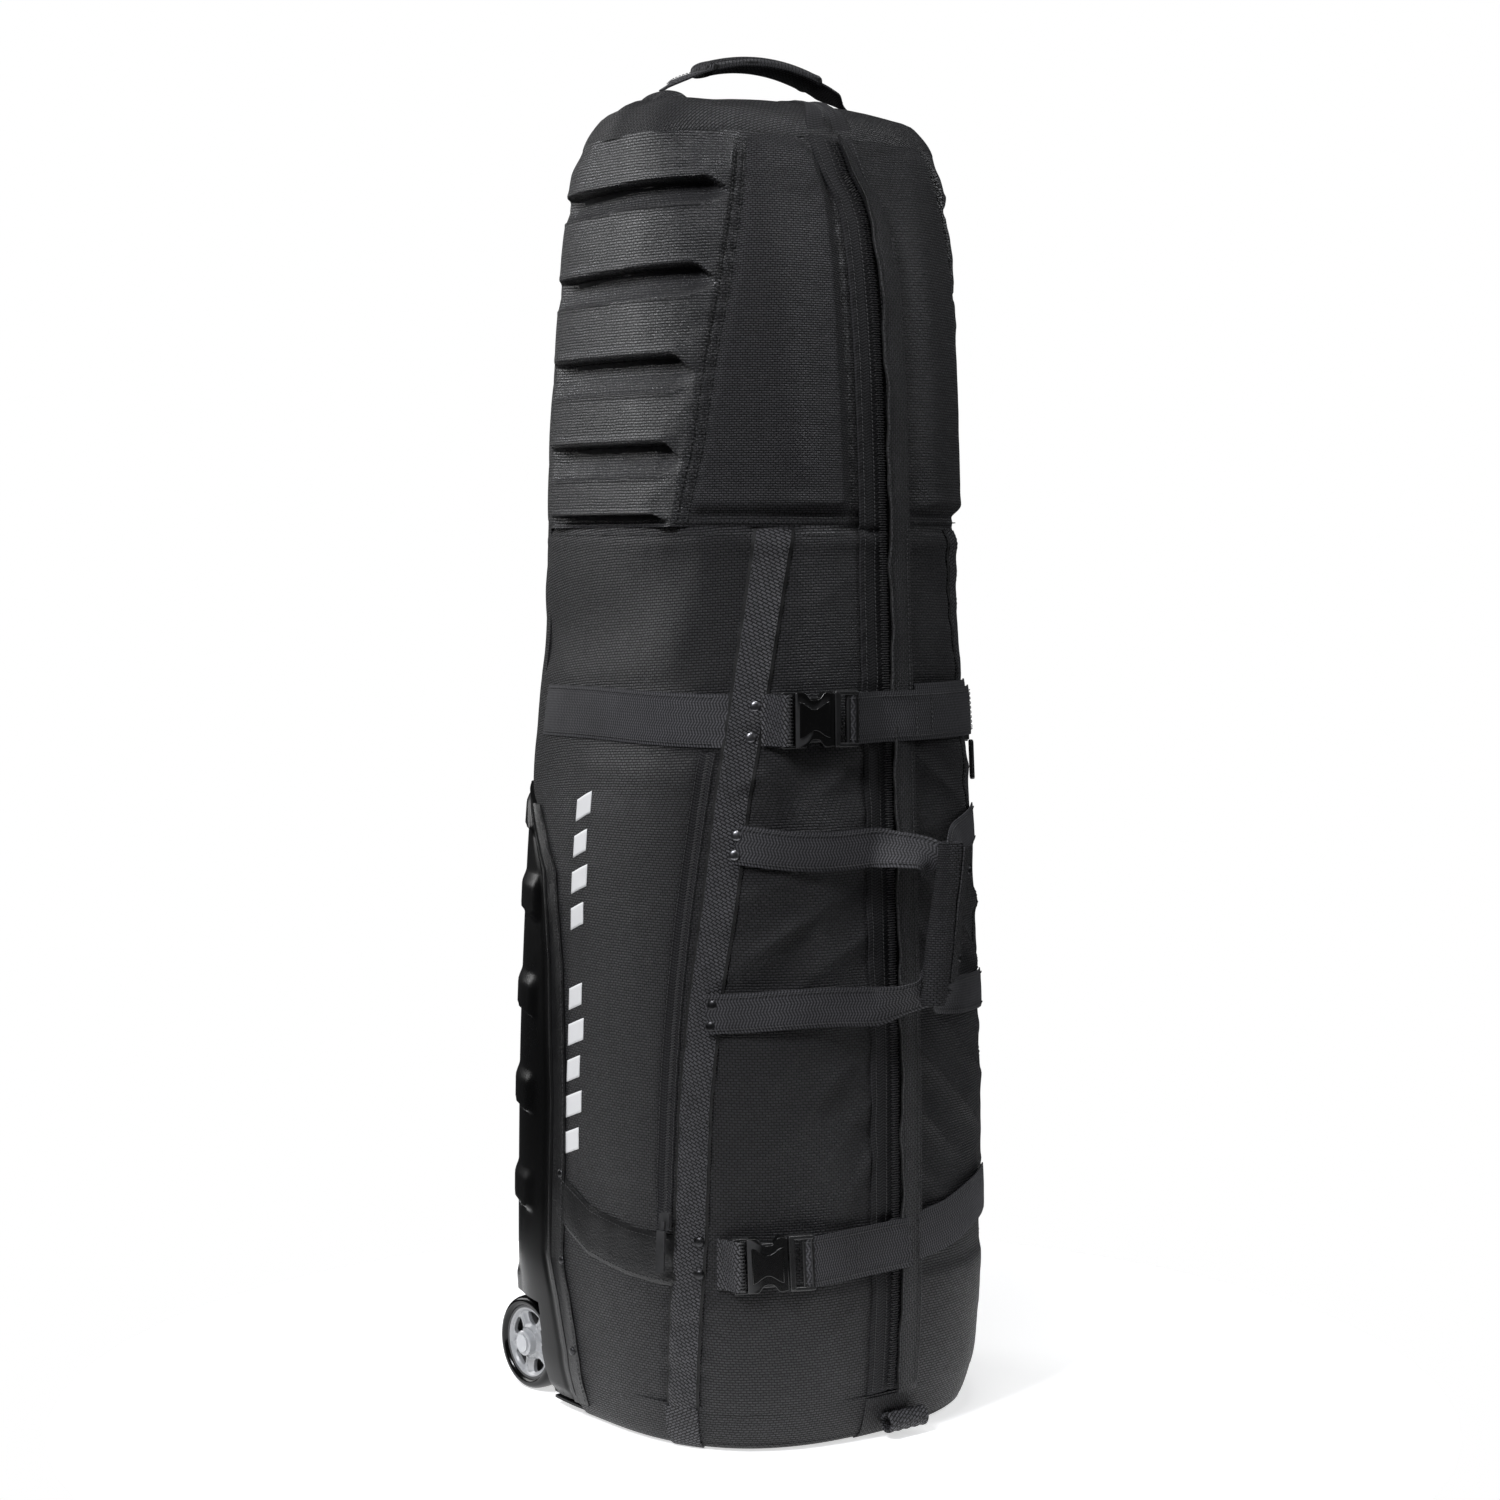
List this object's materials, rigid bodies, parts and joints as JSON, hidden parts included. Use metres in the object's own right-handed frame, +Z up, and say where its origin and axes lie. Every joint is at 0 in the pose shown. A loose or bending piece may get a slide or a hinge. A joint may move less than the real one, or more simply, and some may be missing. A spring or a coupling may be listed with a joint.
{
  "type": "golf travel case",
  "caption": "Tall padded golf travel case with ribbed hood, moulded rear shell on wheels, front zip flaps, side-release buckle straps, haul handle and top grip.",
  "frame": {"origin": "on the floor under the middle of the bag's body, in the plane of the base's flat underside", "axes": "+Z up along the bag's height, -Y towards the front with the main zip, +Y towards the moulded shell and wheels, X across the bag along the wheel axles"},
  "size_m": [0.4252, 0.4862, 1.3349],
  "materials": {
    "ripstop_fabric": "diamond ripstop weave, matt with fine sheen",
    "pad_fabric": "padded ripstop weave",
    "webbing": "coarse diamond webbing",
    "binding": "pebbled leather look",
    "shell_plastic": "moulded, satin",
    "buckle_plastic": "moulded, semi-gloss",
    "zip_coil": "nylon coil and tape",
    "rivet_metal": "dark lacquered",
    "tyre_rubber": "glossy wheel tread",
    "hub_plastic": "silver grey moulded",
    "axle_steel": "plated",
    "lining": "woven lining",
    "grip_fabric": "padded handle wrap"
  },
  "bodies": {
    "bag": {"base_loop": "webbing", "base_pad": "lining", "base_tray": "shell_plastic", "hard_shell": "shell_plastic", "hood_padding": "lining", "inner_straps": "webbing", "left_hood_panel": "ripstop_fabric", "left_pocket": "ripstop_fabric", "left_rib_pads": "pad_fabric", "left_side_panel": "ripstop_fabric", "lower_bands": "binding", "pocket_zips": "zip_coil", "rear_hood_panel": "ripstop_fabric", "rear_panel": "lining", "right_hood_panel": "ripstop_fabric", "right_pocket": "ripstop_fabric", "right_rib_pads": "pad_fabric", "right_side_panel": "ripstop_fabric", "shell_bindings": "binding", "shell_rivets": "rivet_metal", "top_handle_anchors": "webbing", "top_panel": "ripstop_fabric", "top_zip": "zip_coil", "upper_bands": "webbing", "wheel_axles": "axle_steel", "wheel_housings": "shell_plastic"},
    "right_flap": {"right_front_panel": "ripstop_fabric", "right_front_pad": "pad_fabric", "right_trim_webbing": "webbing", "main_zip_right": "zip_coil", "weather_flap": "ripstop_fabric", "upper_strap": "webbing", "lower_strap": "webbing", "upper_buckle_male": "buckle_plastic", "lower_buckle_male": "buckle_plastic", "haul_strap_right": "webbing", "haul_grip": "grip_fabric"},
    "left_flap": {"left_front_panel": "ripstop_fabric", "left_front_pad": "pad_fabric", "left_trim_webbing": "webbing", "main_zip_left": "zip_coil", "front_rivets": "rivet_metal", "buckle_tabs": "webbing", "upper_buckle_female": "buckle_plastic", "lower_buckle_female": "buckle_plastic", "haul_strap_left": "webbing"},
    "left_wheel": {"left_wheel_tyre": "tyre_rubber", "left_wheel_hub": "hub_plastic", "left_wheel_bearing": "axle_steel"},
    "right_wheel": {"right_wheel_tyre": "tyre_rubber", "right_wheel_hub": "hub_plastic", "right_wheel_bearing": "axle_steel"},
    "top_handle": {"top_handle_webbing": "webbing", "top_handle_grip": "grip_fabric"},
    "left_slider": {"pocket_slider_left": "zip_coil"},
    "left_pull": {"pocket_pull_left": "zip_coil"},
    "right_slider": {"pocket_slider_right": "zip_coil"},
    "right_pull": {"pocket_pull_right": "zip_coil"},
    "top_slider": {"main_slider": "zip_coil"},
    "top_pull": {"main_pull": "zip_coil"}
  },
  "joints": [
    {"name": "right_flap_hinge", "type": "hinge", "parent": "bag", "child": "right_flap", "pos_m": [0.19665, -0.128, 0.046], "axis": [-0.0499, 0, 0.9988], "range_deg": [0, 52]},
    {"name": "left_flap_hinge", "type": "hinge", "parent": "bag", "child": "left_flap", "pos_m": [-0.19665, -0.128, 0.046], "axis": [0.0499, 0, 0.9988], "range_deg": [-72.8, 0]},
    {"name": "left_wheel_spin", "type": "hinge", "parent": "bag", "child": "left_wheel", "pos_m": [-0.167, 0.146, 0.0474], "axis": [1, 0, 0], "continuous": true},
    {"name": "right_wheel_spin", "type": "hinge", "parent": "bag", "child": "right_wheel", "pos_m": [0.167, 0.146, 0.0474], "axis": [1, 0, 0], "continuous": true},
    {"name": "top_handle_fold", "type": "hinge", "parent": "bag", "child": "top_handle", "pos_m": [0, -0.006, 1.2918], "axis": [1, 0, 0], "range_deg": [-50, 50]},
    {"name": "left_pocket_slide", "type": "slide", "parent": "bag", "child": "left_slider", "axis": [0.0367, -0.0016, 0.9993], "range_m": [0, 0.3]},
    {"name": "left_pull_swing", "type": "hinge", "parent": "left_slider", "child": "left_pull", "pos_m": [-0.20583, -0.12073, 0.21453], "axis": [0.3739, -0.9273, -0.0152], "range_deg": [-150, 0]},
    {"name": "right_pocket_slide", "type": "slide", "parent": "bag", "child": "right_slider", "axis": [0.0592, 0.0023, -0.9982], "range_m": [0, 0.32]},
    {"name": "right_pull_swing", "type": "hinge", "parent": "right_slider", "child": "right_pull", "pos_m": [0.18373, -0.12179, 0.65985], "axis": [0.3871, 0.9217, 0.025], "range_deg": [-150, 0]},
    {"name": "top_slide", "type": "slide", "parent": "bag", "child": "top_slider", "axis": [0, -1, 0], "range_m": [0, 0.028]},
    {"name": "top_pull_swing", "type": "hinge", "parent": "top_slider", "child": "top_pull", "pos_m": [0, 0.062, 1.2984], "axis": [1, 0, 0], "range_deg": [0, 70]}
  ],
  "couplings": [
    {"joint": "left_flap_hinge", "follows": "right_flap_hinge", "ratio": -1.4}
  ]
}
